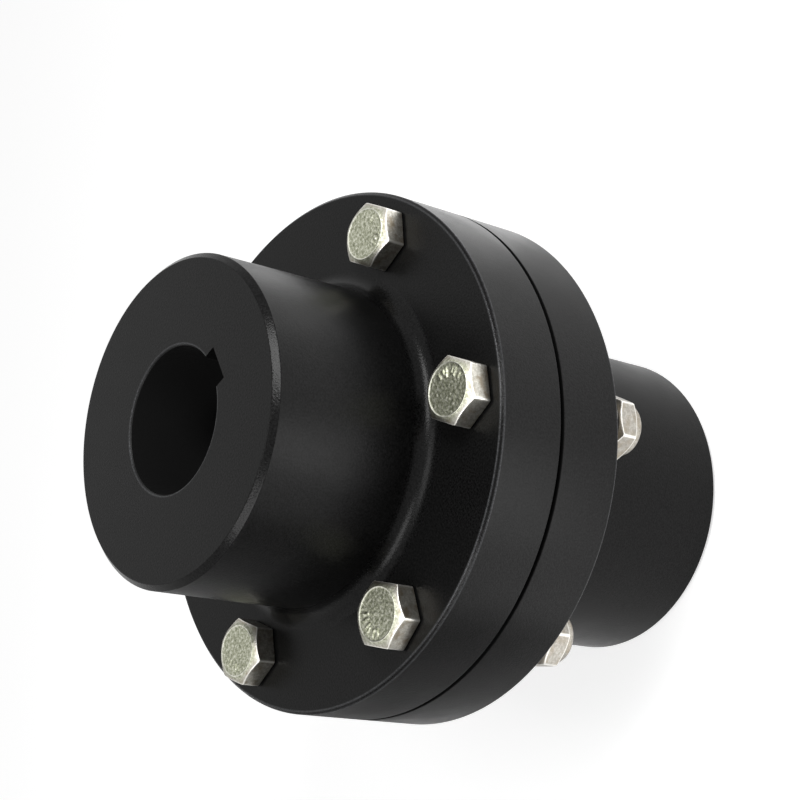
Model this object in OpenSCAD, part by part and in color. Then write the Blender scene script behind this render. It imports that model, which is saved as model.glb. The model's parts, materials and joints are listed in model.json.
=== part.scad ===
// Rigid flange coupling: two flanged hubs, one longer than the other, drawn together by six bolts.
// Millimetres. The shaft axis is Z. The coupling stands on the end of its longer, rear hub.

/* [Shaft] */
// Bore for the shaft, the same in both halves
bore_d = 38; // [25:0.5:45]
// Chamfer at the mouth of each bore
bore_chamfer = 0.8; // [0.3:0.1:2]
// Width of the keyway
key_w = 10; // [6:0.5:14]
// Depth of the keyway, from the bore's wall outwards
key_depth = 3.3; // [2:0.1:5]

/* [Hubs] */
// Wall of both hubs, from the bore outwards
hub_wall = 24; // [16:0.5:32]
// Length of the front half, from the joint to the end of its hub
front_len = 68; // [50:1:110]
// Length of the rear half, from the joint to the end of its hub
rear_len = 90; // [50:1:130]
// Chamfer round the end of each hub
hub_chamfer = 1.5; // [0.5:0.1:3]
// Radius of the fillet where a hub runs into its flange
root_fillet = 5; // [1:0.5:8]

/* [Flanges] */
// Thickness of each flange
flange_t = 20.5; // [12:0.5:30]
// Metal from the bolt circle out to the rim
rim_margin = 12; // [11:0.5:25]
// Chamfer on the rim, on the side of the hub
rim_chamfer = 1; // [0.3:0.1:2]
// Gap that the two rims leave open all round, which shows as a fine dark groove
joint_gap = 0.9; // [0.4:0.1:2]
// Depth of that gap, from the rim in to the faces that meet
gap_depth = 3; // [1:0.5:5]
// Chamfer on the rim along the gap
joint_chamfer = 0.3; // [0.2:0.1:0.8]

/* [Spigot] */
// Radial wall of the spigot on the front half that centres the rear half
spigot_wall = 17; // [10:0.5:22]
// Height of the spigot
spigot_h = 3; // [1.5:0.5:6]
// Chamfer round the spigot's end
spigot_chamfer = 0.5; // [0.2:0.1:1]
// Radial play of the spigot in its recess
spigot_play = 0.02; // [0.01:0.01:0.1]
// Room left below the spigot in its recess
spigot_room = 0.5; // [0.2:0.1:2]

/* [Bolts] */
// Number of bolts round the flange
bolt_count = 6; // [3:1:6]
// Turn of the first bolt from the keyway, in degrees
bolt_turn = 34.5; // [0:0.5:60]
// Thread diameter of the bolts
bolt_d = 10; // [8:0.5:12]
// Pitch of the thread
thread_pitch = 1.5; // [1:0.25:1.75]
// Play of a bolt in its hole, on the diameter
hole_play = 0.5; // [0.2:0.1:1]
// Height of a bolt's head, with its bearing ring
head_h = 7; // [5:0.1:9]
// Width of heads and nuts across their flats
hex_af = 16; // [15:0.5:21]
// Radial width of the chamfer on heads and nuts, at the flats
hex_chamfer = 1; // [0.3:0.1:1.5]
// Height of the round bearing ring under a head
ring_h = 0.5; // [0.2:0.1:1]
// Thread that stands out of each nut
stand_out = 1; // [0.5:0.1:6]

/* [Nuts and washers] */
// Height of the hexagon on a nut
nut_h = 7; // [5:0.1:12]
// Height of the round collar beyond a nut's hexagon, which grips the thread
collar_h = 2.8; // [2:0.1:5]
// Step from a nut's flats in to its collar
collar_step = 0.8; // [0.3:0.1:1.5]
// Rounding of the collar's outer edge
collar_round = 1.5; // [0.5:0.1:1.9]
// Diameter of the plain washer against the rear flange
washer_d = 19.5; // [17:0.5:24]
// Thickness of the plain washer
washer_t = 2; // [1:0.1:3]
// Radial width of the spring washer between plain washer and nut
spring_w = 2.6; // [1.8:0.1:3.2]
// Thickness of the spring washer, pressed flat
spring_t = 2.6; // [1.6:0.1:3.5]
// Play of the spring washer on its bolt, on the diameter
spring_play = 0.2; // [0.1:0.1:0.5]
// Width of the split in the spring washer
spring_split = 1.2; // [0.5:0.1:3]
// Clear face between the hub's fillet and a washer or a head's corner
seat_gap = 0.25; // [0.1:0.05:4]

/* [Hidden] */
$fn = 96;

steel = [0.17, 0.17, 0.17];
zinc = [0.62, 0.61, 0.52];
pale_zinc = [0.72, 0.70, 0.64];
spring_steel = [0.24, 0.24, 0.25];

// How far a cutting shape runs past the face that it cuts
past = 1;
// Slope of the chamfers on heads and nuts
hex_slope = tan(30);
// Slant of the split in a spring washer, from the bolt's axis
split_slant = 25;
// Turns at which the tightened heads, nuts and spring washers came to rest, from the radial direction
head_turns = [32, 34, 44, 35, 12, 50];
nut_turns = [8, 29, 51.5, 17, 40, 3];
spring_turns = [150, 200, 95, 240, 310, 60];

bore_r = bore_d / 2;
hub_r = bore_r + hub_wall;
corner_r = hex_af / sqrt(3);
crown_r = hex_af / 2 - hex_chamfer;
collar_r = hex_af / 2 - collar_step;
washer_r = washer_d / 2;
spring_in = (bolt_d + spring_play) / 2;
pitch_r = hub_r + root_fillet + seat_gap + max(corner_r, washer_r);
flange_r = pitch_r + rim_margin;
hole_r = (bolt_d + hole_play) / 2;
spigot_r = bore_r + spigot_wall;
recess_r = spigot_r + spigot_play;
recess_h = spigot_h + spigot_room;

joint_z = rear_len;
head_z = joint_z + flange_t;
washer_z = joint_z - flange_t;
spring_z = washer_z - washer_t;
nut_z = spring_z - spring_t;

// The thread is drawn plain, at its mean diameter, with a hair of play between bolt and nut
mean_depth = 0.3248 * thread_pitch;
thread_mean_r = bolt_d / 2 - mean_depth;
thread_play = 0.02;
// Length of thread on a bolt of this diameter, and of the whole shank that flanges, washers and nut need
thread_run_out = 6;
thread_len = 2 * bolt_d + thread_run_out;
bolt_len = head_z - nut_z + nut_h + collar_h + stand_out;
tip_chamfer = 2 * mean_depth;

// Outline of one half without its bore: flange on the joint face at 0, hub up to length, fillet between.
module half_outline(length) {
    polygon([
        [0, 0],
        [flange_r - gap_depth, 0],
        [flange_r - gap_depth, joint_gap / 2],
        [flange_r - joint_chamfer, joint_gap / 2],
        [flange_r, joint_gap / 2 + joint_chamfer],
        [flange_r, flange_t - rim_chamfer],
        [flange_r - rim_chamfer, flange_t],
        [0, flange_t]
    ]);
    polygon([
        [0, 0],
        [hub_r, 0],
        [hub_r, length - hub_chamfer],
        [hub_r - hub_chamfer, length],
        [0, length]
    ]);
    difference() {
        translate([hub_r - past, flange_t - past])
            square(root_fillet + past);
        translate([hub_r + root_fillet, flange_t + root_fillet])
            circle(root_fillet);
    }
}

// What the shaft needs: the bore from depth low, and its chamfered mouth at length.
module bore_outline(low, length) {
    translate([0, low - past])
        square([bore_r, length - low + 2 * past]);
    polygon([
        [0, length - bore_chamfer - past],
        [bore_r - past, length - bore_chamfer - past],
        [bore_r + bore_chamfer + past, length + past],
        [0, length + past]
    ]);
}

// Slot for the key, along the whole bore, on the +Y side.
module keyway(low, length) {
    translate([-key_w / 2, 0, low - past])
        cube([key_w, bore_r + key_depth, length - low + 2 * past]);
}

// Puts its children at each bolt's place, turned by that bolt's own angle from turns.
module on_bolt_circle(turns) {
    for (i = [0 : bolt_count - 1])
        rotate([0, 0, 90 + bolt_turn - i * 360 / bolt_count])
            translate([pitch_r, 0, 0])
                rotate([0, 0, turns[i % len(turns)]])
                    children();
}

module bolt_holes() {
    on_bolt_circle([0])
        translate([0, 0, -past])
            cylinder(r = hole_r, h = flange_t + 2 * past);
}

// Spigot below the joint face of the front half, which centres the rear half.
module spigot_outline() {
    polygon([
        [0, past],
        [spigot_r, past],
        [spigot_r, spigot_chamfer - spigot_h],
        [spigot_r - spigot_chamfer, -spigot_h],
        [0, -spigot_h]
    ]);
}

// Front half, seated on the joint plane with its spigot reaching below it.
module front_half() {
    color(steel)
        translate([0, 0, joint_z])
            difference() {
                union() {
                    rotate_extrude()
                        half_outline(front_len);
                    rotate_extrude()
                        spigot_outline();
                }
                rotate_extrude()
                    bore_outline(-spigot_h, front_len);
                keyway(-spigot_h, front_len);
                bolt_holes();
            }
}

// Rear half, drawn upwards from the joint like the front one, then turned over by a mirror.
module rear_half() {
    color(steel)
        translate([0, 0, joint_z])
            mirror([0, 0, 1])
                difference() {
                    rotate_extrude()
                        half_outline(rear_len);
                    rotate_extrude()
                        bore_outline(0, rear_len);
                    translate([0, 0, -past])
                        cylinder(r = recess_r, h = recess_h + past);
                    keyway(0, rear_len);
                    bolt_holes();
                }
}

// Hexagon standing on 0, with its upper corners turned down to a cone round a flat crown.
module hexagon(height) {
    reach = corner_r + past;
    intersection() {
        cylinder(r = corner_r, h = height, $fn = 6);
        rotate_extrude()
            polygon([
                [0, 0],
                [reach, 0],
                [reach, height - (reach - crown_r) * hex_slope],
                [crown_r, height],
                [0, height]
            ]);
    }
}

// One bolt, head upwards, with the underside of its bearing ring at 0.
module bolt() {
    shank_r = bolt_d / 2;
    thread_z = thread_len - bolt_len;
    translate([0, 0, ring_h])
        hexagon(head_h - ring_h);
    cylinder(r = crown_r, h = ring_h + past);
    rotate_extrude()
        polygon([
            [0, past],
            [shank_r, past],
            [shank_r, thread_z],
            [thread_mean_r, thread_z - (shank_r - thread_mean_r)],
            [thread_mean_r, tip_chamfer - bolt_len],
            [thread_mean_r - tip_chamfer, -bolt_len],
            [0, -bolt_len]
        ]);
}

// One nut, below the face at 0 that it is tightened against: a hexagon crowned at both ends, then the collar.
module nut() {
    end = nut_h + collar_h;
    hole_in_nut = thread_mean_r + thread_play;
    mouth = bolt_d / 2 + thread_play;
    sink = mouth - hole_in_nut;
    difference() {
        union() {
            intersection() {
                translate([0, 0, -nut_h])
                    hexagon(nut_h);
                mirror([0, 0, 1])
                    hexagon(nut_h);
            }
            translate([0, 0, -end])
                cylinder(r = collar_r, h = collar_h + past);
        }
        rotate_extrude()
            collar_edge(end);
        rotate_extrude()
            polygon([
                [0, past],
                [mouth + past, past],
                [hole_in_nut, -sink],
                [hole_in_nut, sink - end],
                [mouth + past, -end - past],
                [0, -end - past]
            ]);
    }
}

// What is taken off to round the outer edge of a nut's collar.
module collar_edge(end) {
    difference() {
        translate([collar_r - collar_round, -end - past])
            square(collar_round + past);
        translate([collar_r - collar_round, collar_round - end])
            circle(collar_round);
    }
}

// Plain washer, below the face at 0 that it lies against.
module flat_washer() {
    translate([0, 0, -washer_t])
        difference() {
            cylinder(r = washer_r, h = washer_t);
            translate([0, 0, -past])
                cylinder(r = hole_r, h = washer_t + 2 * past);
        }
}

// Spring washer pressed flat, below the face at 0, with its slanted split.
module spring_washer() {
    difference() {
        rotate_extrude()
            translate([spring_in, -spring_t])
                square([spring_w, spring_t]);
        translate([spring_in + spring_w / 2, 0, -spring_t / 2])
            rotate([split_slant, 0, 0])
                cube([spring_w + 2 * past, spring_split, 3 * spring_t], center = true);
    }
}

module flange_bolts() {
    color(zinc)
        on_bolt_circle(head_turns)
            translate([0, 0, head_z])
                bolt();
}

module flat_washers() {
    color(pale_zinc)
        on_bolt_circle([0])
            translate([0, 0, washer_z])
                flat_washer();
}

module spring_washers() {
    color(spring_steel)
        on_bolt_circle(spring_turns)
            translate([0, 0, spring_z])
                spring_washer();
}

module flange_nuts() {
    color(pale_zinc)
        on_bolt_circle(nut_turns)
            translate([0, 0, nut_z])
                nut();
}

front_half();
rear_half();
flange_bolts();
flat_washers();
spring_washers();
flange_nuts();
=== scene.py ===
# %% [markdown]
# # A rigid flange coupling
#
# Two turned steel halves, each a hub with a flange, are bolted face to face and join two shafts end to
# end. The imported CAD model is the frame: it says where every piece is and how large it is. Blender adds
# what the solids leave out, which is broken edges that catch the light, rolled threads, forged bolt heads
# and the finish of each metal.

import json

import bpy
import numpy as np
from mathutils import Matrix, Vector


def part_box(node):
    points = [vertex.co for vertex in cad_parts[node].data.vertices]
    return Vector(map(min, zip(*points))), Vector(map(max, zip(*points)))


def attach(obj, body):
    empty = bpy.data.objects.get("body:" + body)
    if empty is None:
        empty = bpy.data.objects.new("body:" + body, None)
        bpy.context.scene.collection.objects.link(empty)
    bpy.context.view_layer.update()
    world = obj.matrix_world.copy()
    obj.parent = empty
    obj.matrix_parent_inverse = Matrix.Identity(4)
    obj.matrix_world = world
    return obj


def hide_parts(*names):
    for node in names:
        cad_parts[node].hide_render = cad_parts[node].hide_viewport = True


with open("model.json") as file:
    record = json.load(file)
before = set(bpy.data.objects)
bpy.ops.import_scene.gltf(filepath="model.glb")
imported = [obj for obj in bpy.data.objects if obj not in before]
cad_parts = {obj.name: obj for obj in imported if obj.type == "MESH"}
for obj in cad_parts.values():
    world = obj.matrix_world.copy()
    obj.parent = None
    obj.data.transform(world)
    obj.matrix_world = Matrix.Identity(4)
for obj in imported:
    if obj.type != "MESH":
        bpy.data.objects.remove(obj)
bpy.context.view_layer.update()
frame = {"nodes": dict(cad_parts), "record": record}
print("CAD nodes:", sorted(frame["nodes"]))

# %% [markdown]
# ## Sizes
#
# A size that the frame can give is read from it, so the looks follow the CAD model. Most of the others
# are the driving sizes of the solids, repeated where they are needed. The gap at the joint and the
# chamfers of rim and bore differ from the solids by a few tenths of a millimetre, so that they look as
# the real edges do. Everything is worked out in millimetres and turned to metres once, when a mesh is
# made.

# %% Read the main sizes off the frame
MM = 0.001


def box_mm(node):
    """Lowest and highest corner of a CAD node, in millimetres."""
    return [np.round(np.array(corner) / MM, 3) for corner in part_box(node)]


front_low, front_high = box_mm("front_half")
rear_low, rear_high = box_mm("rear_half")
bolts_low, bolts_high = box_mm("flange_bolts")
nuts_low, nuts_high = box_mm("flange_nuts")
washers_low, washers_high = box_mm("flat_washers")
springs_low, springs_high = box_mm("spring_washers")
mounts = {mount["name"]: mount for mount in frame["record"]["mounts"]}

joint_z = rear_high[2]
front_len = front_high[2] - joint_z
rear_len = joint_z - rear_low[2]
flange_t = joint_z - washers_high[2]
flange_r = max(np.abs([*front_low[:2], *front_high[:2]]))
spigot_h = joint_z - front_low[2]
bore_r = mounts["front_bore"]["dims"]["r_mm"]
head_h = bolts_high[2] - joint_z - flange_t
nut_h = nuts_high[2] - nuts_low[2]
bolt_len = joint_z + flange_t - bolts_low[2]
print(f"flange {2 * flange_r:.1f} x {flange_t:.1f}, halves {front_len:.1f} and {rear_len:.1f},")
print(f"bore {2 * bore_r:.1f}, heads {head_h:.1f}, nuts {nut_h:.1f}, bolts {bolt_len:.1f} mm long")

# %% [markdown]
# ## From a grid of numbers to a mesh
#
# Every piece here is round or nearly so. Such a piece could be spun from a curve or cut from a cylinder,
# but a grid is simpler to reason about: one index runs along an outline, the other round the axis, and a
# whole piece is two arrays, the radius and the height at each grid point. The outline is followed so that
# metal lies on its left, which makes every face point outwards.

# %% Turn grids into meshes
def turned(radius, height, angle, centre=(0.0, 0.0)):
    """Grid of points: centre + (radius cos angle, radius sin angle), at that height. Shapes broadcast."""
    radius, height, angle = np.broadcast_arrays(radius, height, angle)
    x = centre[0] + radius * np.cos(angle)
    y = centre[1] + radius * np.sin(angle)
    return np.stack([x, y, height], axis=-1)


def surface(name, points, ring=False, **marks):
    """Mesh of a grid of points in millimetres. Columns always close on themselves.

    Rows close too where ring is set. Otherwise the first and the last row are each closed by a fan of
    triangles to the middle of that row, so that no pole is left open. Each of marks is a grid of numbers that
    becomes an attribute of that name, which a material can read.
    """
    rows, columns = points.shape[:2]
    number = np.arange(rows * columns).reshape(rows, columns)
    if ring:
        number = np.vstack([number, number[:1]])
    after = np.roll(number, -1, axis=1)
    faces = np.stack([number[:-1], after[:-1], after[1:], number[1:]], axis=-1).reshape(-1, 4).tolist()
    places = points.reshape(-1, 3)
    if not ring:
        places = np.vstack([places, points[0].mean(axis=0), points[-1].mean(axis=0)])
        low_pole = np.full(columns, rows * columns)
        faces += np.column_stack([low_pole, after[0], number[0]]).tolist()
        faces += np.column_stack([low_pole + 1, number[-1], after[-1]]).tolist()
    mesh = bpy.data.meshes.new(name)
    mesh.from_pydata((places * MM).tolist(), [], faces)
    mesh.update()
    for mark, grid in marks.items():
        values = np.broadcast_to(grid, (rows, columns)).astype(np.float32)
        poles = [] if ring else [values[0].mean(), values[-1].mean()]
        layer = mesh.attributes.new(mark, "FLOAT", "POINT")
        layer.data.foreach_set("value", np.append(values.ravel(), poles))
    return mesh


def piece(name, mesh, sharp=35.0):
    """Object of a mesh, shaded smooth except across edges that turn by more than sharp degrees."""
    mesh.shade_smooth()
    mesh.set_sharp_from_angle(angle=np.radians(sharp))
    made = bpy.data.objects.new(name, mesh)
    bpy.context.collection.objects.link(made)
    return made


print("a millimetre on a grid is", MM, "m in its mesh")

# %% [markdown]
# ## Edges that catch the light
#
# No turned edge is perfectly sharp: the tool, a file or handling breaks it by a few tenths of a
# millimetre, and that narrow band shines as a thin line round the part. A Bevel modifier could do it, but
# the outlines are polylines, so each corner can become an arc before it is carried round. Two extra
# points hold the flats flat beside each arc, so that the shading of the arc doesn't spread over them.

# %% Round the corners of an outline
HOLD = 0.3


def softened(corners, radii, steps):
    """Outline with each corner replaced by an arc that touches the lines to both its neighbours.

    From a corner, a and b are the directions to its neighbours and h is half the angle between them. The
    arc starts radius / tan h along a, ends as far along b, and its centre is radius / sin h along a + b. Its
    points turn evenly from start to end. A holding point follows on the line at both sides. corners is
    (corner, column, 2), so every column may have its own outline. A radius of 0 keeps the corner. The outline
    is closed.
    """
    before, beyond = np.roll(corners, 1, axis=0), np.roll(corners, -1, axis=0)
    out = []
    for corner, back, ahead, radius, count in zip(corners, before, beyond, radii, steps):
        if radius == 0:
            out.append(corner[None])
            continue
        a = (back - corner) / np.linalg.norm(back - corner, axis=-1, keepdims=True)
        b = (ahead - corner) / np.linalg.norm(ahead - corner, axis=-1, keepdims=True)
        half = np.arccos(np.clip((a * b).sum(axis=-1, keepdims=True), -1, 1)) / 2
        reach = radius / np.tan(half)
        middle = (a + b) / np.linalg.norm(a + b, axis=-1, keepdims=True)
        centre = corner + middle * radius / np.sin(half)
        start, end = corner + a * reach - centre, corner + b * reach - centre
        turn = np.pi - 2 * half
        share = np.linspace(0, 1, count)[:, None, None]
        arc = centre + (np.sin((1 - share) * turn) * start + np.sin(share * turn) * end) / np.sin(turn)
        room_back = np.linalg.norm(back - corner, axis=-1, keepdims=True) - reach
        room_ahead = np.linalg.norm(ahead - corner, axis=-1, keepdims=True) - reach
        lead = corner + a * (reach + np.minimum(HOLD, room_back / 4))
        trail = corner + b * (reach + np.minimum(HOLD, room_ahead / 4))
        out.append(np.concatenate([lead[None], arc, trail[None]]))
    return np.concatenate(out)


print("edges are rounded, with a holding point", HOLD, "mm beyond each arc")

# %% [markdown]
# ## The two halves
#
# Each half is turned from a steel bar or forging: a bored hub, a wide fillet at its root, and a flange
# whose rim has a chamfer on the hub's side and is set back a little at the joint, so that the joint reads
# as a fine dark groove. The front half has a low spigot that centres it in a recess of the rear half. The
# outline is measured from the joint outwards, so one function serves both halves, and the rear one is
# laid the other way up.

# %% Outline of one half
HUB_R = 43.0
HUB_CHAMFER = 1.5
ROOT_FILLET = 5.0
RIM_CHAMFER = 0.8
JOINT_GAP = 1.2
GAP_DEPTH = 3.0
JOINT_CHAMFER = 0.14
BORE_CHAMFER = 0.45
SPIGOT_R = 36.0
SPIGOT_CHAMFER = 0.5
RECESS_R = 36.02
RECESS_ROOM = 0.5
RECESS_H = spigot_h + RECESS_ROOM
# Each kind of corner has a radius and a number of points on its arc.
SHARP = (0, 1)
JOINT_EDGE = (0.05, 3)
EDGE = (0.25, 5)
BORE_EDGE = (0.12, 4)
FILLET = (ROOT_FILLET, 24)


def half_outline(length, joint_side):
    """Closed outline (radius, distance from the joint): joint_side first, then flange, hub and bore."""
    shared = [
        (flange_r - GAP_DEPTH, 0, *SHARP),
        (flange_r - GAP_DEPTH, JOINT_GAP / 2, *SHARP),
        (flange_r - JOINT_CHAMFER, JOINT_GAP / 2, *JOINT_EDGE),
        (flange_r, JOINT_GAP / 2 + JOINT_CHAMFER, *JOINT_EDGE),
        (flange_r, flange_t - RIM_CHAMFER, *EDGE),
        (flange_r - RIM_CHAMFER, flange_t, *EDGE),
        (HUB_R, flange_t, *FILLET),
        (HUB_R, length - HUB_CHAMFER, *EDGE),
        (HUB_R - HUB_CHAMFER, length, *EDGE),
        (bore_r + BORE_CHAMFER, length, *BORE_EDGE),
        (bore_r, length - BORE_CHAMFER, *BORE_EDGE),
    ]
    rows = np.array(joint_side + shared)
    return softened(rows[:, None, :2], rows[:, 2], rows[:, 3].astype(int))


spigot_side = [
    (bore_r, -spigot_h, *SHARP),
    (SPIGOT_R - SPIGOT_CHAMFER, -spigot_h, *SHARP),
    (SPIGOT_R, SPIGOT_CHAMFER - spigot_h, *SHARP),
    (SPIGOT_R, 0, *SHARP),
]
recess_side = [
    (bore_r, RECESS_H, *SHARP),
    (RECESS_R, RECESS_H, *SHARP),
    (RECESS_R, 0, *SHARP),
]
front_outline = half_outline(front_len, spigot_side)
rear_outline = half_outline(rear_len, recess_side)
print("outline points:", len(front_outline), "front,", len(rear_outline), "rear")

# %% [markdown]
# The bolt holes are drilled and the keyway is broached after turning, so here too the turned shape comes
# first and a Boolean takes out the holes and the slot. The cutters are small grids of their own: a
# cylinder has many columns, and the slot is a prism of four. The result is kept as a plain mesh, with no
# modifier left on it.

# %% Cutters for holes and keyway
RIM_MARGIN = 12.0
BOLT_TURN = 34.5
BOLTS = 6

pitch_r = flange_r - RIM_MARGIN
bolt_angles = np.radians(90 + BOLT_TURN - 360 / BOLTS * np.arange(BOLTS))
bolt_places = pitch_r * np.stack([np.cos(bolt_angles), np.sin(bolt_angles)], axis=-1)


def prism(name, outline, low, high):
    """Closed prism over an outline of points (x, y), from low to high."""
    x, y, height = np.broadcast_arrays(outline[:, 0], outline[:, 1], np.array([low, high])[:, None])
    return surface(name, np.stack([x, y, height], axis=-1))


def cut(mesh, tools):
    """Mesh with the tools' shapes taken out of it."""
    body = bpy.data.objects.new("turned_half", mesh)
    bpy.context.collection.objects.link(body)
    cutters = [bpy.data.objects.new(tool.name, tool) for tool in tools]
    for cutter in cutters:
        bpy.context.collection.objects.link(cutter)
        step = body.modifiers.new("cut", "BOOLEAN")
        step.operation, step.solver, step.object = "DIFFERENCE", "EXACT", cutter
    bpy.context.view_layer.update()
    made = bpy.data.meshes.new_from_object(body.evaluated_get(bpy.context.evaluated_depsgraph_get()))
    for spent in [body, *cutters]:
        old = spent.data
        bpy.data.objects.remove(spent)
        bpy.data.meshes.remove(old)
    return made


print(len(bolt_places), "bolt holes on a circle of", 2 * pitch_r, "mm")

# %% [markdown]
# The finish of a half isn't the same all over. Handling rubs the coat off the rim's edges, and chamfers and
# fillet are cut finer than the faces. The groove at the joint is painted near black, as painted shade in
# the narrow gap between the flanges. A material can't tell an edge from a face, and painting by hand would
# have to be done again after each change of shape. So the points are marked here, by their place in the
# outline, and the marks become attributes that the material reads.

# %% Mark worn edges, fine cuts and the groove
KEY_W = 10.0
KEY_DEPTH = 3.3
WORN_FROM = 0.15
WORN_TO = 0.3
ON_LINE = 0.04
FILLET_FINE = 0.7


def mark_edges(mesh, length, side):
    """Marks how worn each point is, and which points lie on the fine chamfers and fillet, or in the groove.

    A point's place in the outline is its distance from the axis and from the joint. Its wear is 1 on an edge
    there and falls to 0 a third of a millimetre beside it. On a chamfer, the two distances have a fixed sum,
    and on the fillet, the distance from the middle of its arc is the fillet's radius. The groove's wall lies
    half a gap from the joint.
    """
    edges = np.array([
        (flange_r, flange_t - RIM_CHAMFER),
        (flange_r - RIM_CHAMFER, flange_t),
        (bore_r + BORE_CHAMFER, length),
    ])
    places = np.empty(3 * len(mesh.vertices))
    mesh.vertices.foreach_get("co", places)
    x, y, z = places.reshape(-1, 3).T / MM
    at = np.stack([np.hypot(x, y), side * (z - joint_z)], axis=-1)
    away = np.linalg.norm(at[:, None] - edges, axis=-1).min(axis=-1)
    worn = np.clip((WORN_TO - away) / (WORN_TO - WORN_FROM), 0, 1)
    # The long walls of the keyway touch the worn edge of the bore, and would carry its wear inwards.
    worn[(np.abs(x) < KEY_W / 2 + ON_LINE) & (y > 0) & (at[:, 0] < bore_r + KEY_DEPTH)] = 0
    sums = np.array([flange_r + flange_t - RIM_CHAMFER, HUB_R + length - HUB_CHAMFER])
    chamfer = np.abs(at.sum(axis=-1)[:, None] - sums).min(axis=-1) < ON_LINE
    inside = np.array([HUB_R, flange_t]) + ROOT_FILLET - at
    fillet = (np.abs(np.linalg.norm(inside, axis=-1) - ROOT_FILLET) < ON_LINE) & (inside > 0).all(axis=-1)
    fine = np.maximum(chamfer, FILLET_FINE * fillet)
    depth = flange_r - at[:, 0]
    in_gap = at[:, 1] < JOINT_GAP / 2 + ON_LINE
    groove = in_gap & (depth > JOINT_CHAMFER - ON_LINE) & (depth < GAP_DEPTH + ON_LINE)
    for mark, values in (("worn", worn), ("fine", fine), ("groove", groove)):
        mesh.attributes.new(mark, "FLOAT", "POINT").data.foreach_set("value", values.astype(np.float32))


print("edges are worn within", WORN_TO, "mm")

# %% [markdown]
# Now the halves themselves, in the order of the workshop: the outline is carried round the axis, the
# cutters take out the holes and the slot, and the points are marked. Each half stands for its CAD node,
# which is hidden.

# %% Turn, drill and broach the halves
TURN_COLUMNS = 360
HOLE_COLUMNS = 72
HOLE_R = 5.25
PAST = 2.0

turn_angle = np.linspace(0, 2 * np.pi, TURN_COLUMNS, endpoint=False)
hole_angle = np.linspace(0, 2 * np.pi, HOLE_COLUMNS, endpoint=False)


def finished_half(name, outline, length, side):
    """One half, turned from its outline, with side +1 for the hub upwards and -1 for the hub downwards."""
    radius, height = outline[:, :, 0], joint_z + side * outline[:, :, 1]
    mesh = surface(name, turned(radius, height, turn_angle)[::side], ring=True)
    circle = HOLE_R * np.stack([np.cos(hole_angle), np.sin(hole_angle)], axis=-1)
    half_w, top = KEY_W / 2, bore_r + KEY_DEPTH
    slot = np.array([(-half_w, 0), (half_w, 0), (half_w, top), (-half_w, top)])
    low, high = height.min() - PAST, height.max() + PAST
    tools = [prism("hole", circle + place, low, high) for place in bolt_places]
    tools.append(prism("slot", slot, low, high))
    mesh = cut(mesh, tools)
    mesh.name = name
    mark_edges(mesh, length, side)
    made = piece(name, mesh)
    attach(made, "root")
    return made


front_half = finished_half("front_half_turned", front_outline, front_len, 1)
rear_half = finished_half("rear_half_turned", rear_outline, rear_len, -1)
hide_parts("front_half")
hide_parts("rear_half")
print("faces:", len(front_half.data.polygons), "front,", len(rear_half.data.polygons), "rear")

# %% [markdown]
# ## Bolts
#
# The bolts are forged: a hexagon whose corners are turned down to a cone round a flat crown, with a low
# round ring beneath that bears on the flange. The die leaves the hexagon's corners a little round, a fine
# raised rim round the crown, and raised marks near it. The thread is rolled. All of this is one grid per
# bolt: the radius is the hexagon's reach on the head and a helical ridge on the shank, and the crown is a
# height over its disc.

# %% Hexagon and thread as functions of the angle
COLUMNS = 192
CORNER_CROWD = 0.65
HEX_AF = 16.0
CROWN_R = 7.0
CORNER_SOFT = 12.0
CORNER_BACK = 0.09
HEX_SLOPE = np.tan(np.radians(30))
THREAD_R = 5.0
THREAD_PITCH = 1.5
# A standard bolt thread: its depth, and the shares of half a pitch where its flank leaves root and crest.
THREAD_DEPTH = 0.6134 * THREAD_PITCH
FLANK_FROM = 0.25
FLANK_TO = 0.875


def hexagon_columns(turn):
    """Angles of the columns round a hexagon: even angles, less a share of their sixfold sine.

    That crowds them at the six corners, where the light turns, and spreads them over the flats.
    """
    even = np.linspace(0, 2 * np.pi, COLUMNS, endpoint=False)
    return turn + even - CORNER_CROWD / 6 * np.sin(6 * even)


def hexagon_reach(angle, turn):
    """Distance from the axis to a hexagon's side at each angle.

    Half the width across flats over the cosine of the angle from the nearest flat's middle, and a smooth
    minimum of that with a circle just inside the corners, which rounds them.
    """
    from_flat = np.mod(angle - turn, np.pi / 3) - np.pi / 6
    sharp = HEX_AF / 2 / np.cos(from_flat)
    circle = HEX_AF / np.sqrt(3) - CORNER_BACK
    return -np.logaddexp(-CORNER_SOFT * sharp, -CORNER_SOFT * circle) / CORNER_SOFT


def thread_radius(height, angle):
    """Radius of a right-hand thread: a ridge with flat crest and root, once per pitch, a turn per pitch."""
    phase = np.mod(height / THREAD_PITCH - angle / (2 * np.pi), 1)
    ridge = np.abs(2 * phase - 1)
    flank = np.clip((ridge - FLANK_FROM) / (FLANK_TO - FLANK_FROM), 0, 1)
    return THREAD_R - THREAD_DEPTH + THREAD_DEPTH * flank


print("thread depth", round(THREAD_DEPTH, 3), "mm, hexagon", HEX_AF, "mm across flats")

# %% [markdown]
# Plating wears first where a hand or a spanner touches it: on the corners of the hexagon and on the
# curved lines where the cone meets the flats. As on the halves, the grid itself knows where these are, so
# the wear is worked out with the shape and becomes an attribute.

# %% Wear of a hexagon
HEX_EDGE = 0.14
LINE_WEAR = 0.35
CORNER_WEAR = 0.1


def hexagon_wear(radius, level, reach, edge_levels):
    """How worn a hexagon is: 1 on the curved lines where cones meet flats and on the corners between flats.

    It falls with the distance from such a line, in the outline, and with the distance from a corner's reach.
    """
    away = np.min([np.hypot(radius - reach, level - edge) for edge in edge_levels], axis=0)
    line = np.clip((LINE_WEAR - away) / LINE_WEAR, 0, 1)
    corner = np.exp(-(((reach.max() - reach) / CORNER_WEAR) ** 2)) * (radius > reach - HEX_EDGE)
    return np.maximum(line, corner)


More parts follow.
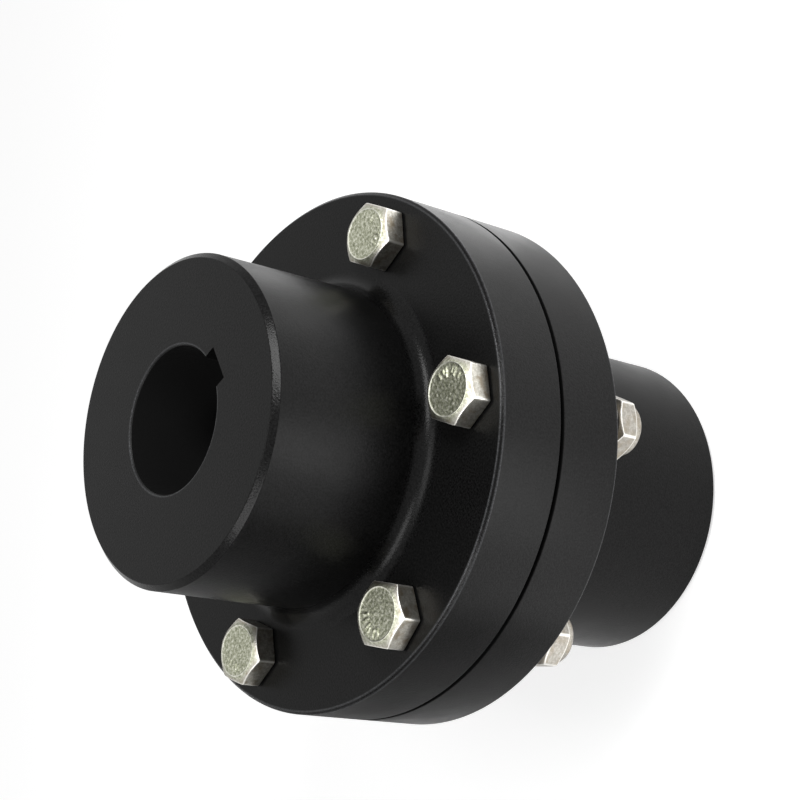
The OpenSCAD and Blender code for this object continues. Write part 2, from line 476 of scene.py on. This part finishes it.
print("hexagons are worn within", LINE_WEAR, "mm of their curved lines")

# %% [markdown]
# The crown is the part of a bolt that is seen most. It could be a flat disc with a bump in its material,
# but the rim and the marks catch the light from any side, so they are real heights, a few tenths of a
# millimetre.

# %% Crown of a bolt head
RIM_H = 0.16
RIM_W = 0.18
RIM_IN = 0.22
DISH = 0.12
DISH_POWER = 4
# Raised marks: how many, over which arc, how far off it, how high and wide, and where they start and end.
MARKS = 6
MARK_ARC = np.radians(95)
MARK_STRAY = 0.08
MARK_H = 0.3
MARK_W = 0.36
MARK_STARTS = (3.0, 4.4)
MARK_ENDS = (5.3, 6.0)
MARK_TAPER = 0.08
# Hammered skin: its height, how many waves make it, and how long they are.
SKIN_H = 0.026
SKIN_WAVES = 40
WAVE_LENGTHS = (0.8, 2.2)


def crown_height(radius, angle, mark_turn, seed):
    """Height of the crown over its disc, counted from the top of a rim that lies at the crown's very edge.

    A shallow dish, a rim (a bell curve of the distance from a circle just inside the crown's edge), short
    radial marks (bell curves of the distance from their own ray, between two radii that differ per mark) and
    the hammered skin of a forging (a sum of waves in many directions, a millimetre or so long).
    """
    rng = np.random.default_rng(seed)
    rays = mark_turn + np.linspace(-0.5, 0.5, MARKS) * MARK_ARC + rng.uniform(-MARK_STRAY, MARK_STRAY, MARKS)
    inner = rng.uniform(*MARK_STARTS, MARKS)
    outer = rng.uniform(*MARK_ENDS, MARKS)
    off_ray = np.mod(angle[:, None] - rays + np.pi, 2 * np.pi) - np.pi
    far = radius[:, :, None]
    across = np.exp(-((off_ray * far) / MARK_W) ** 2)
    along = 1 / (1 + np.exp((inner - far) / MARK_TAPER)) / (1 + np.exp((far - outer) / MARK_TAPER))
    marks = (across * along).max(axis=-1)
    rim = np.exp(-(((radius - CROWN_R + RIM_IN) / RIM_W) ** 2))
    dish = (radius / CROWN_R) ** DISH_POWER
    heading = rng.uniform(0, 2 * np.pi, SKIN_WAVES)
    number = 2 * np.pi / rng.uniform(*WAVE_LENGTHS, SKIN_WAVES)
    start = rng.uniform(0, 2 * np.pi, SKIN_WAVES)
    skin = np.cos(number * far * np.cos(angle[:, None] - heading) + start).sum(axis=-1) / np.sqrt(SKIN_WAVES)
    skin *= SKIN_H * (1 - rim)
    return -DISH - RIM_H + DISH * dish + RIM_H * rim + MARK_H * marks * (1 - rim) + skin


print("crowns have", MARKS, "marks", MARK_H, "mm high")

# %% [markdown]
# A bolt's grid starts in the middle of its tip, climbs the thread, the plain shank and the head, and ends
# in the middle of the crown. No two heads came to rest at the same turn when the nuts were tightened, so
# each bolt has its own.

# %% Forge the bolts
HEAD_TURNS = np.radians([32, 34, 44, 35, 12, 50])
MARK_TURNS = np.radians([297, 78, 280, 10, 140, 310])
THREAD_LEN = 26.0
THREAD_ROWS = 8
TIP_BACK = 0.2
TIP_SHARES = np.array([3, 4, 5])[:, None] / 6
RUN_OUT_SLOPE = 6
RING_H = 0.5
RING_EDGE = 0.1
RIM_WEAR = 0.5
CROWN_ROWS = 42
CROWN_EYE = 0.25
head_seat_z = joint_z + flange_t


def bolt_grid(turn, mark_turn, seed, centre):
    """Grid of one bolt, from the middle of its tip up the shank and head to the middle of its crown.

    With it come how worn each point is, and whether it lies on the crown.
    """
    angle = hexagon_columns(turn)
    reach = hexagon_reach(angle, turn)
    one = np.ones(COLUMNS)
    tip_z = -bolt_len
    thread_top = THREAD_LEN - bolt_len
    rows = round(THREAD_LEN / THREAD_PITCH * THREAD_ROWS)
    height = np.linspace(tip_z, thread_top, rows)[:, None]
    cone = THREAD_R - THREAD_DEPTH - TIP_BACK + (height - tip_z)
    run_out = THREAD_R - RUN_OUT_SLOPE * (thread_top - height)
    thread = np.maximum(np.minimum(thread_radius(height, angle), cone), np.minimum(run_out, THREAD_R))
    slope_z = head_h - RIM_H - (reach - CROWN_R) * HEX_SLOPE
    corners = np.stack([
        np.stack([THREAD_R * one, 0 * one], axis=-1),
        np.stack([CROWN_R * one, 0 * one], axis=-1),
        np.stack([CROWN_R * one, RING_H * one], axis=-1),
        np.stack([reach, RING_H * one], axis=-1),
        np.stack([reach, slope_z], axis=-1),
        np.stack([CROWN_R * one, (head_h - RIM_H) * one], axis=-1),
    ])
    # The last corner only gives the cone its direction, because the crown has rows of its own.
    head = softened(corners, [0, RING_EDGE, 0, HEX_EDGE, HEX_EDGE, 0], [1, 3, 1, 5, 5, 1])[:-1]
    crown_r = np.linspace(CROWN_R, CROWN_EYE, CROWN_ROWS)[:, None] * one
    crown_z = head_h + crown_height(crown_r, angle, mark_turn, seed)
    tip_r = TIP_SHARES * thread[:1]
    radius = np.concatenate([tip_r, thread, head[:, :, 0], crown_r])
    level = np.concatenate([0 * tip_r + tip_z, height * one, head[:, :, 1], crown_z])
    rim = np.abs(radius - CROWN_R + RIM_IN) < RIM_W
    worn = np.maximum(hexagon_wear(radius, level, reach, [slope_z]), RIM_WEAR * rim) * (level > RING_H)
    crown = (np.arange(len(radius)) >= len(radius) - len(crown_r))[:, None]
    return turned(radius, head_seat_z + level, angle, centre), worn, crown


bolts = []
for i, centre in enumerate(bolt_places):
    name = f"flange_bolt_{i + 1}"
    grid, wear, crown = bolt_grid(bolt_angles[i] + HEAD_TURNS[i], bolt_angles[i] + MARK_TURNS[i], i, centre)
    bolt = piece(name, surface(name, grid, worn=wear, crown=crown))
    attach(bolt, "root")
    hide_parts("flange_bolts")
    bolts.append(bolt)
print(len(bolts), "bolts of", len(bolts[0].data.polygons), "faces")

# %% [markdown]
# ## Nuts
#
# The nuts are lock nuts: a hexagon turned down at both ends, and beyond it a round collar that grips the
# thread. The outline is a closed loop at each angle: end of the collar, side, upper face and the threaded
# bore, which follows the bolt's ridge a hair further out, so that the two never cut into each other.

# %% Tap the nuts
NUT_TURNS = np.radians([8, 29, 51.5, 17, 40, 3])
NUT_HEX_H = 7.0
NUT_FACE_EDGE = 0.15
COLLAR_R = 7.2
COLLAR_ROUND = 1.4
COLLAR_ROOT = 0.3
MOUTH = 0.25
THREAD_PLAY = 0.05
NUT_SINK = 0.6
nut_seat_z = nuts_high[2]


def nut_grid(turn, centre):
    """Grid of one nut, a closed loop from the mouth of its collar round the outside and back along the bore.

    With it comes how worn each point is.
    """
    angle = hexagon_columns(turn)
    reach = hexagon_reach(angle, turn)
    one = np.ones(COLUMNS)
    mouth = (THREAD_R + MOUTH) * one
    drop = (reach - CROWN_R) * HEX_SLOPE
    collar_top = (COLLAR_R - CROWN_R) * HEX_SLOPE - NUT_HEX_H
    corners = np.stack([
        np.stack([mouth, -nut_h * one], axis=-1),
        np.stack([COLLAR_R * one, -nut_h * one], axis=-1),
        np.stack([COLLAR_R * one, collar_top * one], axis=-1),
        np.stack([reach, drop - NUT_HEX_H], axis=-1),
        np.stack([reach, -drop], axis=-1),
        np.stack([CROWN_R * one, 0 * one], axis=-1),
        np.stack([mouth, 0 * one], axis=-1),
    ])
    radii = [0, COLLAR_ROUND, COLLAR_ROOT, HEX_EDGE, HEX_EDGE, NUT_FACE_EDGE, 0]
    shell = softened(corners, radii, [1, 9, 4, 5, 5, 4, 1])
    rows = round(nut_h / THREAD_PITCH * THREAD_ROWS)
    height = np.linspace(0, -nut_h, rows + 2)[1:-1, None]
    from_end = np.minimum(-height, height + nut_h)
    sink = THREAD_R + MOUTH - from_end * (MOUTH + THREAD_DEPTH) / NUT_SINK
    # The thread's phase counts from the head's seat, as the bolt's does.
    ridge = thread_radius(height + nut_seat_z - head_seat_z, angle) + THREAD_PLAY
    radius = np.concatenate([shell[:, :, 0], np.maximum(ridge, sink)])
    level = np.concatenate([shell[:, :, 1], height * one])
    worn = hexagon_wear(radius, level, reach, [-drop, drop - NUT_HEX_H])
    return turned(radius, nut_seat_z + level, angle, centre), worn


nuts = []
for i, centre in enumerate(bolt_places):
    name = f"flange_nut_{i + 1}"
    grid, wear = nut_grid(bolt_angles[i] + NUT_TURNS[i], centre)
    nut = piece(name, surface(name, grid, ring=True, worn=wear))
    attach(nut, "root")
    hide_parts("flange_nuts")
    nuts.append(nut)
print(len(nuts), "nuts of", len(nuts[0].data.polygons), "faces")

# %% [markdown]
# ## Washers
#
# Under each nut lie a plain washer and a spring washer. The plain one is punched from sheet, so its edges
# are a little rolled. The spring washer is a bar of square section bent to a ring and cut off at a slant,
# so here it is a section carried along an arc, whose ends lean because the angle of each point depends on
# its height.

# %% Outlines of the washers
WASHER_R = 9.75
WASHER_EDGE = 0.35
SPRING_IN = 5.1
SPRING_W = 2.6
SPRING_EDGE = 0.3
SPRING_SPLIT = 1.2
SPLIT_SLANT = np.radians(25)
EDGE_STEPS = 5
RING_COLUMNS = 120


def bar_outline(inner, outer, low, high, edge):
    """Closed outline (radius, height) of a flat bar with rounded edges."""
    corners = np.array([(inner, low), (outer, low), (outer, high), (inner, high)])[:, None, :]
    return softened(corners, [edge] * len(corners), [EDGE_STEPS] * len(corners))[:, 0]


def flat_washer_grid(centre):
    """Grid of a plain washer: its outline carried once round the bolt's axis."""
    outline = bar_outline(HOLE_R, WASHER_R, washers_low[2], washers_high[2], WASHER_EDGE)
    angle = np.linspace(0, 2 * np.pi, RING_COLUMNS, endpoint=False)
    return turned(outline[:, :1], outline[:, 1:], angle, centre)


def spring_washer_grid(turn, centre):
    """Grid of a spring washer: its section carried from one end of the split to the other.

    A point's angle is its share of the arc, and leans by its height over the middle times the slant.
    """
    outline = bar_outline(SPRING_IN, SPRING_IN + SPRING_W, springs_low[2], springs_high[2], SPRING_EDGE)[::-1]
    middle_r, middle_z = SPRING_IN + SPRING_W / 2, (springs_low[2] + springs_high[2]) / 2
    half_gap = SPRING_SPLIT / np.cos(SPLIT_SLANT) / 2 / middle_r
    lean = -(outline[:, 1] - middle_z) * np.tan(SPLIT_SLANT) / middle_r
    along = np.linspace(half_gap, 2 * np.pi - half_gap, RING_COLUMNS)[:, None]
    return turned(outline[:, 0], outline[:, 1], turn + along + lean, centre)


print("spring washers are split by", SPRING_SPLIT, "mm")

# %% [markdown]
# The plain washer closes on itself, so its grid is a ring both ways. The spring washer doesn't, so the
# two ends of its bar are closed by fans. Where its split came to rest is different at each bolt.

# %% Punch and coil the washers
SPRING_TURNS = np.radians([150, 200, 95, 240, 310, 60])

flat_washers, spring_washers = [], []
for i, centre in enumerate(bolt_places):
    name = f"flat_washer_{i + 1}"
    washer = piece(name, surface(name, flat_washer_grid(centre), ring=True))
    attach(washer, "root")
    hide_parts("flat_washers")
    flat_washers.append(washer)
    name = f"spring_washer_{i + 1}"
    washer = piece(name, surface(name, spring_washer_grid(bolt_angles[i] + SPRING_TURNS[i], centre)))
    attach(washer, "root")
    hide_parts("spring_washers")
    spring_washers.append(washer)
print(len(flat_washers), "plain and", len(spring_washers), "spring washers")

# %% [markdown]
# ## Finishes
#
# The finishes are a black oxide coat, dulled zinc plate and blued spring steel, and none of them is a
# mirror. Colours are written as sRGB, the way a colour picker shows them, and turned to linear once.
# Patterns read Object coordinates, which are metres, so a scale is one over the real size of a grain in
# metres.

# %% Colours and nodes
def linear(code):
    """Linear colour of an sRGB hex code.

    A channel c becomes c / 12.92 if it is small, and otherwise ((c + 0.055) / 1.055) ** 2.4.
    """
    channels = np.array([int(code[i:i + 2], 16) for i in (1, 3, 5)]) / 255
    return (*np.where(channels < 0.04045, channels / 12.92, ((channels + 0.055) / 1.055) ** 2.4), 1.0)


def add(tree, kind, inputs=None, **settings):
    """Adds a node. settings are its properties, and inputs its sockets: a value, or another node's output."""
    made = tree.nodes.new(kind)
    for key, value in settings.items():
        setattr(made, key, value)
    for key, value in (inputs or {}).items():
        if isinstance(value, bpy.types.NodeSocket):
            tree.links.new(value, made.inputs[key])
        else:
            made.inputs[key].default_value = value
    return made


def new_material(name):
    """Material of that name with an empty node tree, and the tree."""
    made = bpy.data.materials.new(name)
    made.use_nodes = True
    made.node_tree.nodes.clear()
    return made, made.node_tree


def per(size_mm):
    """Pattern scale that gives one grain per size_mm on coordinates in metres."""
    return 1 / (size_mm * MM)


print("middle grey #808080 is", np.round(linear("#808080")[0], 4), "in linear light")

# %% [markdown]
# ### Blackened steel, turned
#
# The halves are turned steel with a black conversion coat, a thin, slightly porous layer of oxide held
# under oil. To the eye it is a satin near-black with a fine sandy grain, which is lighter where a curve
# catches a lamp. The rim's edges are rubbed down to grey metal in flecks, the finely cut chamfers and
# fillet shine more, and the bored wall is a little paler. The groove at the joint is dull, and its colour
# is painted near black as painted shade in the gap. The coat is no bare metal, so it could not be a
# metallic shader: it is a dark dielectric with a weak, soft gloss.

# %% Blacken the halves
GRAIN = 0.5  # real grain is about 0.1 mm; it is drawn coarse enough to show at this size
GRAIN_DEPTH = 0.1
TOOL_LINE = 0.35  # real feed marks are about 0.15 mm apart; they are drawn coarser too
LINE_DEPTH = 0.05
FLECK = 0.35
CLOUD = 9.0
BORED_DEPTH = 0.1
FINE_ROUGHNESS = 0.19
GROOVE_ROUGHNESS = 0.85
COAT_SPECULAR = 0.098


def blackened(name):
    """Near-black coat on steel, whose colour follows grain, bore, groove and wear, and its gloss the cut."""
    made, tree = new_material(name)
    place = add(tree, "ShaderNodeTexCoord").outputs["Object"]
    grain, cloud, fleck = (
        add(tree, "ShaderNodeTexNoise", {
            "Vector": place, "Scale": per(size), "Detail": detail,
        }).outputs["Fac"]
        for size, detail in ((GRAIN, 3.0), (CLOUD, 4.0), (FLECK, 2.0))
    )
    worn = add(tree, "ShaderNodeAttribute", attribute_name="worn").outputs["Fac"]
    fine = add(tree, "ShaderNodeAttribute", attribute_name="fine").outputs["Fac"]
    groove = add(tree, "ShaderNodeAttribute", attribute_name="groove").outputs["Fac"]

    # Tool lines run round the axis, so they depend on the distance from it and on the height.
    split = add(tree, "ShaderNodeSeparateXYZ", {"Vector": place})
    flat = add(tree, "ShaderNodeCombineXYZ", {"X": split.outputs["X"], "Y": split.outputs["Y"]})
    from_axis = add(tree, "ShaderNodeVectorMath", {
        0: flat.outputs["Vector"],
    }, operation="LENGTH").outputs["Value"]
    along = add(tree, "ShaderNodeMath", {
        0: from_axis, 1: split.outputs["Z"],
    }, operation="ADD").outputs["Value"]
    lines = add(tree, "ShaderNodeTexNoise", {
        "W": along, "Scale": per(TOOL_LINE), "Detail": 1.0,
    }, noise_dimensions="1D").outputs["Fac"]

    # Colour: grain, then the bored wall, then painted shade in the groove, then bare metal in flecks on worn
    # edges.
    tint = add(tree, "ShaderNodeValToRGB", {"Fac": grain})
    dark, pale = tint.color_ramp.elements
    dark.position, dark.color = 0.30, linear("#020202")
    pale.position, pale.color = 0.70, linear("#161616")
    thin = add(tree, "ShaderNodeMapRange", {
        "Value": fleck, "From Min": 0.3, "From Max": 0.7, "To Min": 0.1, "To Max": 0.35,
    }).outputs["Result"]
    bare = add(tree, "ShaderNodeMath", {0: worn, 1: thin}, operation="MULTIPLY").outputs["Value"]
    bored_r = (bore_r + BORED_DEPTH) * MM
    bored = add(tree, "ShaderNodeMath", {0: from_axis, 1: bored_r}, operation="LESS_THAN").outputs["Value"]
    coated = add(tree, "ShaderNodeMix", {
        "Factor": bored, "A": tint.outputs["Color"], "B": linear("#191919"),
    }, data_type="RGBA").outputs["Result"]
    # Painted shade: the walls of the groove between the flanges are painted near black, as if no light
    # reached into the gap.
    painted_groove_shade = add(tree, "ShaderNodeMix", {
        "Factor": groove, "A": coated, "B": linear("#010101"),
    }, data_type="RGBA").outputs["Result"]
    colour = add(tree, "ShaderNodeMix", {
        "Factor": bare, "A": painted_groove_shade, "B": linear("#6f7072"),
    }, data_type="RGBA").outputs["Result"]

    # Gloss: satin in clouds, finer on chamfers and fillet, dull in the groove.
    satin = add(tree, "ShaderNodeMapRange", {
        "Value": cloud, "From Min": 0.3, "From Max": 0.7, "To Min": 0.3, "To Max": 0.36,
    }).outputs["Result"]
    cleaner = add(tree, "ShaderNodeMix", {
        "Factor": fine, "A": satin, "B": FINE_ROUGHNESS,
    }, data_type="FLOAT").outputs["Result"]
    rough = add(tree, "ShaderNodeMix", {
        "Factor": groove, "A": cleaner, "B": GROOVE_ROUGHNESS,
    }, data_type="FLOAT").outputs["Result"]
    scored = add(tree, "ShaderNodeBump", {
        "Height": lines, "Strength": 0.06, "Distance": LINE_DEPTH * MM,
    }).outputs["Normal"]
    sandy = add(tree, "ShaderNodeBump", {
        "Height": grain, "Strength": 0.5, "Distance": GRAIN_DEPTH * MM, "Normal": scored,
    }).outputs["Normal"]
    coat = add(tree, "ShaderNodeBsdfPrincipled", {
        "Base Color": colour,
        "Metallic": bare,
        "Roughness": rough,
        "Specular IOR Level": COAT_SPECULAR,
        "Normal": sandy,
    })
    add(tree, "ShaderNodeOutputMaterial", {"Surface": coat.outputs["BSDF"]})
    return made


black = blackened("blackened_steel_turned")
for half in (front_half, rear_half):
    half.data.materials.clear()
    half.data.materials.append(black)
print("blackened:", front_half.name, rear_half.name)

# %% [markdown]
# ### Zinc plate, dulled, and blued spring steel
#
# Bolts, nuts and plain washers are zinc plated and have gone dull: a warm grey metal with a fine sandy
# skin and brownish stains, rubbed bright along its edges. A bolt's crown is left as it came from the die,
# so there the plate is rough, mottled and olive. The spring washers are blued, which is a dark oxide so
# thin that the steel still shines through. All of it is metal, so the colour is the colour of the
# reflection, and one function makes every finish. The wear and the crown are attributes of the pieces,
# and read as 0 on a piece that has none.

# %% Plate the bolts, nuts and washers
SKIN = 0.9
STAIN = 2.6
PIT = 0.4  # real pits are about 0.1 mm; they are drawn coarse enough to show at this size
PIT_DEPTH = 0.1
CROWN_MOTTLE = 0.85
CROWN_ROUGHNESS = 0.47
CROWN_TONES = ("#6c705c", "#a0a28d", "#d6d6c8")


def plated(name, tones, stain, bright):
    """Metal of three tones in a fine mottle, stained in patches, bright where worn, and olive on a crown."""
    made, tree = new_material(name)
    place = add(tree, "ShaderNodeTexCoord").outputs["Object"]
    patterns = ((SKIN, 5.0, 0.8), (CROWN_MOTTLE, 4.0, 0.75), (STAIN, 3.0, 0.5), (PIT, 3.0, 0.5))
    skin, mottle, patch, pits = (
        add(tree, "ShaderNodeTexNoise", {
            "Vector": place, "Scale": per(size), "Detail": detail, "Roughness": contrast,
        }).outputs["Fac"]
        for size, detail, contrast in patterns
    )
    worn = add(tree, "ShaderNodeAttribute", attribute_name="worn").outputs["Fac"]
    crown = add(tree, "ShaderNodeAttribute", attribute_name="crown").outputs["Fac"]

    shades = []
    mixes = ((skin, 0.3, 0.7, tones), (mottle, 0.35, 0.65, CROWN_TONES))
    for pattern, low, high, (dark, middle, pale) in mixes:
        ramp = add(tree, "ShaderNodeValToRGB", {"Fac": pattern})
        first, last = ramp.color_ramp.elements
        first.position, first.color = low, linear(dark)
        last.position, last.color = high, linear(pale)
        ramp.color_ramp.elements.new((low + high) / 2).color = linear(middle)
        shades.append(ramp.outputs["Color"])
    stained = add(tree, "ShaderNodeMapRange", {
        "Value": patch, "From Min": 0.45, "From Max": 0.7, "To Max": 0.7,
    }).outputs["Result"]
    side = add(tree, "ShaderNodeMix", {
        "Factor": stained, "A": shades[0], "B": linear(stain),
    }, data_type="RGBA").outputs["Result"]
    forged = add(tree, "ShaderNodeMix", {
        "Factor": crown, "A": side, "B": shades[1],
    }, data_type="RGBA").outputs["Result"]
    colour = add(tree, "ShaderNodeMix", {
        "Factor": worn, "A": forged, "B": linear(bright),
    }, data_type="RGBA").outputs["Result"]

    satin = add(tree, "ShaderNodeMapRange", {
        "Value": skin, "From Min": 0.3, "From Max": 0.7, "To Min": 0.42, "To Max": 0.3,
    }).outputs["Result"]
    rough = add(tree, "ShaderNodeMix", {
        "Factor": crown, "A": satin, "B": CROWN_ROUGHNESS,
    }, data_type="FLOAT").outputs["Result"]
    dents = add(tree, "ShaderNodeBump", {
        "Height": pits, "Strength": 0.3, "Distance": PIT_DEPTH * MM,
    }).outputs["Normal"]
    metal = add(tree, "ShaderNodeBsdfPrincipled", {
        "Base Color": colour, "Metallic": 1.0, "Roughness": rough, "Normal": dents,
    })
    add(tree, "ShaderNodeOutputMaterial", {"Surface": metal.outputs["BSDF"]})
    return made


bolt_zinc = plated("zinc_plate_on_forged_bolts", ("#8a867c", "#b1aea5", "#d6d4cd"), "#7f7057", "#efede6")
nut_zinc = plated("zinc_plate_on_turned_nuts", ("#827e77", "#9d9991", "#b9b6af"), "#887d6b", "#f2f0ea")
spring_blue = plated("blued_spring_steel", ("#19191a", "#232325", "#303033"), "#1c1a18", "#5a5a5c")
for pieces, finish in ((bolts, bolt_zinc), (nuts + flat_washers, nut_zinc), (spring_washers, spring_blue)):
    for part in pieces:
        part.data.materials.append(finish)
print("plated:", bolt_zinc.name, nut_zinc.name, spring_blue.name)

# %% [markdown]
# ## Camera
#
# The camera's place was solved from the circles of the coupling: hub end, bore, flange edges and rear
# hub. It is given here as a turn and a rise round the axis, a distance from the point in the middle of
# the picture, and a roll, because the coupling stands on its end here and lies on its side in the
# picture.

# %% Place the camera
CAMERA_TURN = np.radians(41.835)
CAMERA_RISE = np.radians(39.105)
CAMERA_ROLL = np.radians(77.37)
CAMERA_DISTANCE = 526.11
CAMERA_AIM = np.array([-11.516, 12.864, 87.520])
CAMERA_LENS = 86.56
SENSOR = 36.0

back = np.array([
    np.cos(CAMERA_RISE) * np.cos(CAMERA_TURN),
    np.cos(CAMERA_RISE) * np.sin(CAMERA_TURN),
    np.sin(CAMERA_RISE),
])
aside = np.cross([0, 0, 1], back)
aside /= np.linalg.norm(aside)
above = np.cross(back, aside)
right = np.cos(CAMERA_ROLL) * aside - np.sin(CAMERA_ROLL) * above
up = np.sin(CAMERA_ROLL) * aside + np.cos(CAMERA_ROLL) * above
viewpoint = (CAMERA_AIM + CAMERA_DISTANCE * back) * MM

lens = bpy.data.cameras.new("camera")
lens.lens, lens.sensor_width, lens.sensor_fit = CAMERA_LENS, SENSOR, "HORIZONTAL"
lens.clip_start, lens.clip_end = 0.01, 50.0
camera = bpy.data.objects.new("camera", lens)
bpy.context.collection.objects.link(camera)
camera.matrix_world = Matrix([*np.column_stack([right, up, back, viewpoint]).tolist(), [0, 0, 0, 1]])
bpy.context.scene.camera = camera
print("camera at", np.round(viewpoint, 3))

# %% [markdown]
# ## Floor
#
# A pale floor, as for a catalogue. It is white paper: it is lit like any other surface and keeps the
# coupling's shadow. More light would make it white, but would bleach the coupling too. So the paper gives
# off a little light of its own, more of it far away, and only to the camera and to reflections.

# %% Lay the floor
FLOOR_HALF = 6.0
NEAR, FAR = 0.35, 1.4
NEAR_GLOW, FAR_GLOW = 0.6, 0.82


def seen_directly(tree):
    """Output that is 1 for rays from the camera, a mirror or glass, and 0 for light on a matt surface."""
    ray = add(tree, "ShaderNodeLightPath").outputs
    mirrored = add(tree, "ShaderNodeMath", {
        0: ray["Is Camera Ray"], 1: ray["Is Glossy Ray"],
    }, operation="MAXIMUM").outputs["Value"]
    return add(tree, "ShaderNodeMath", {
        0: mirrored, 1: ray["Is Transmission Ray"],
    }, operation="MAXIMUM").outputs["Value"]


floor_corners = FLOOR_HALF * np.array([(-1, -1, 0), (1, -1, 0), (1, 1, 0), (-1, 1, 0)])
floor_mesh = bpy.data.meshes.new("floor")
floor_mesh.from_pydata(floor_corners.tolist(), [], [(0, 1, 2, 3)])
floor = piece("floor", floor_mesh)

paper, paper_tree = new_material("white_paper")
floor_place = add(paper_tree, "ShaderNodeTexCoord").outputs["Object"]
away = add(paper_tree, "ShaderNodeVectorMath", {0: floor_place}, operation="LENGTH").outputs["Value"]
glow = add(paper_tree, "ShaderNodeMapRange", {
    "Value": away, "From Min": NEAR, "From Max": FAR, "To Min": NEAR_GLOW, "To Max": FAR_GLOW,
}).outputs["Result"]
shown = add(paper_tree, "ShaderNodeMath", {0: seen_directly(paper_tree), 1: glow}, operation="MULTIPLY")
matt = add(paper_tree, "ShaderNodeBsdfDiffuse", {"Color": linear("#dcdcdc")})
shine = add(paper_tree, "ShaderNodeEmission", {"Strength": shown.outputs["Value"]})
both = add(paper_tree, "ShaderNodeAddShader", {0: matt.outputs["BSDF"], 1: shine.outputs["Emission"]})
add(paper_tree, "ShaderNodeOutputMaterial", {"Surface": both.outputs["Shader"]})
floor_mesh.materials.append(paper)
print("floor glows at", NEAR_GLOW, "near the coupling and", FAR_GLOW, "far from it")

# %% [markdown]
# ## Light
#
# The room is white to the eye and to reflections, but lights matt surfaces only a little. Soft lamps do
# the rest. A black, glossy object is lit mostly by what it mirrors, so each lamp has a place in some
# reflection: the key and the second lamp draw the bright lines on chamfers and fillet, the one overhead
# whitens the cones of the bolt heads, and light tables on the floor and a low strip give the upright
# sides something pale to mirror.

# %% Light the room
ROOM_LIGHT = 0.25
ROOM_SEEN = 1.0

world = bpy.data.worlds.new("studio")
world.use_nodes = True
bpy.context.scene.world = world
sky_tree = world.node_tree
sky_tree.nodes.clear()
strength = add(sky_tree, "ShaderNodeMapRange", {
    "Value": seen_directly(sky_tree), "To Min": ROOM_LIGHT, "To Max": ROOM_SEEN,
})
sky = add(sky_tree, "ShaderNodeBackground", {
    "Color": linear("#ffffff"), "Strength": strength.outputs["Result"],
})
add(sky_tree, "ShaderNodeOutputWorld", {"Surface": sky.outputs["Background"]})
print("room lights at", ROOM_LIGHT, "and is seen at", ROOM_SEEN)

# %% [markdown]
# A lamp could be given by its power, but then a larger one would look dimmer. Here each lamp has a
# radiance, the brightness of its face, and its power follows from its size. No lamp is seen by the camera
# itself.

# %% Hang the lamps
MIDDLE = np.array([0.0, 0.0, 0.085])
TABLE_TURNS = (30, 90, 150)
TABLE_R = 0.3
TABLE_Z = 0.002
TABLE_SIDE = 0.3


def around(turn, rise, distance):
    """Point at a distance from the coupling's middle, by degrees round the axis and above the floor."""
    turn, rise = np.radians([turn, rise])
    way = np.array([np.cos(rise) * np.cos(turn), np.cos(rise) * np.sin(turn), np.sin(rise)])
    return MIDDLE + distance * way


def softbox(name, stand, target, width, height, radiance):
    """Oblong lamp at stand that faces target.

    A lamp's power is its radiance times pi times its area, so its brightness doesn't depend on its size.
    """
    stand = Vector(stand)
    lamp = bpy.data.lights.new(name, "AREA")
    lamp.shape, lamp.size, lamp.size_y = "RECTANGLE", width, height
    lamp.energy = radiance * np.pi * width * height
    made = bpy.data.objects.new(name, lamp)
    bpy.context.collection.objects.link(made)
    facing = (stand - Vector(target)).to_track_quat("Z", "Y").to_matrix().to_4x4()
    made.matrix_world = Matrix.Translation(stand) @ facing
    made.visible_camera = False
    return made


lamps = [
    softbox("key", around(100, 48, 0.5), MIDDLE, width=0.28, height=0.12, radiance=15.0),
    softbox("second", around(-5, 46, 0.45), MIDDLE, width=0.25, height=0.12, radiance=7.0),
    softbox("overhead", around(40, 76, 0.65), MIDDLE, width=0.26, height=0.26, radiance=4.0),
    softbox("low_strip", around(42, -17, 0.19), MIDDLE, width=0.1, height=0.1, radiance=3.0),
]
for turn in TABLE_TURNS:
    spot = around(turn, 0, TABLE_R) * (1, 1, 0) + (0, 0, TABLE_Z)
    lamps.append(softbox(f"light_table_{turn}", spot, spot + (0, 0, 1), TABLE_SIDE, TABLE_SIDE, radiance=0.9))
print("lamps:", [lamp.name for lamp in lamps])

# %% [markdown]
# A flag is a card that stands beside a glossy object, so that one side mirrors the card and not the
# bright room. Here a pale card is bent round one side of the coupling, and grades its rims and hubs from
# light to dark. Only reflections see it, so it throws no shadow on the floor.

# %% Stand a flag beside the coupling
FLAG_R = 130.0
FLAG_H = 120.0
FLAG_T = 2.0
FLAG_FROM, FLAG_TO = np.radians([-125, 0])
FLAG_COLUMNS = 40

flag_outline = np.array([(FLAG_R, FLAG_H), (FLAG_R + FLAG_T, FLAG_H), (FLAG_R + FLAG_T, 0), (FLAG_R, 0)])
flag_sweep = np.linspace(FLAG_FROM, FLAG_TO, FLAG_COLUMNS)[:, None]
flag = piece("flag", surface("flag", turned(flag_outline[:, 0], flag_outline[:, 1], flag_sweep)))
flag.visible_camera = flag.visible_diffuse = flag.visible_shadow = flag.visible_transmission = False

card, card_tree = new_material("pale_card")
board = add(card_tree, "ShaderNodeBsdfPrincipled", {"Base Color": linear("#e6e6e6"), "Roughness": 0.9})
add(card_tree, "ShaderNodeOutputMaterial", {"Surface": board.outputs["BSDF"]})
flag.data.materials.append(card)
print("flag stands", FLAG_R, "mm from the axis")

# %% [markdown]
# ## Finish
#
# Standard view transform, so that a colour renders as it is written.

# %% Set the view transform
bpy.context.scene.view_settings.view_transform = "Standard"
